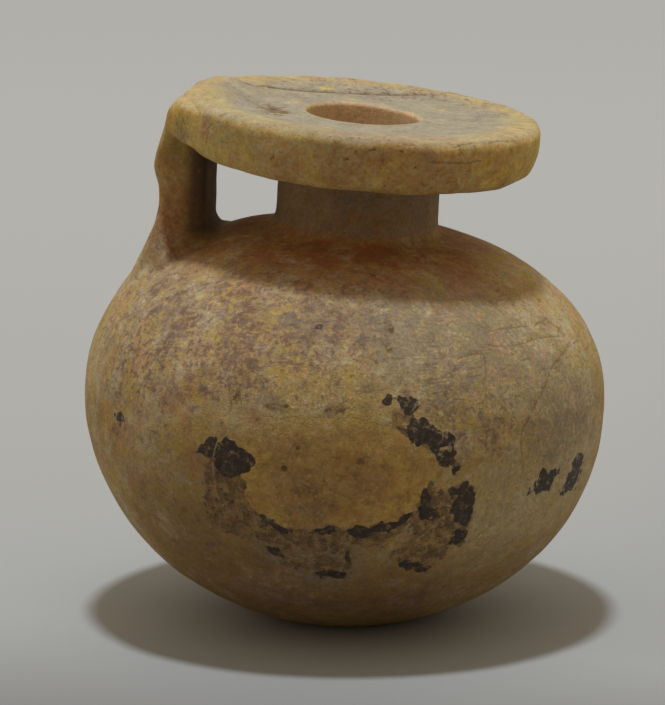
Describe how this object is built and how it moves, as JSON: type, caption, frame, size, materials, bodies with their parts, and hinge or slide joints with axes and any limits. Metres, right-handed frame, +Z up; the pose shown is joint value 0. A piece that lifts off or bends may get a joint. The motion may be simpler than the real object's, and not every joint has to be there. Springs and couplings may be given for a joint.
{
  "type": "aryballos",
  "caption": "Small round-bodied fired-clay oil flask with a narrow neck, a broad flat disc mouth and one strap handle from shoulder to rim.",
  "frame": {"origin": "middle of the box's bottom, on the surface that the flask stands on, straight below the centre of its belly", "axes": "+Z up; the strap handle is at -X and the flask leans 3.5 degrees towards +X; -Y is the side that the picture shows, turned 9 degrees"},
  "size_m": [0.0619, 0.062, 0.0642],
  "materials": {
    "body_clay": "matt ochre fired clay with worn, flaked dark paint and brown soil stains",
    "mouth_clay": "matt pale yellow-buff fired clay, rubbed bare, with small brown specks",
    "luting_clay": "matt ochre clay wiped smooth round the joins"
  },
  "bodies": {
    "root": {"vessel_body": "body_clay", "neck": "body_clay", "mouth_disc": "mouth_clay", "strap_handle": "mouth_clay", "neck_foot_seam": "luting_clay", "neck_head_seam": "luting_clay", "strap_foot_seam": "luting_clay", "strap_head_seam_front": "luting_clay", "strap_head_seam_back": "luting_clay"}
  },
  "joints": []
}
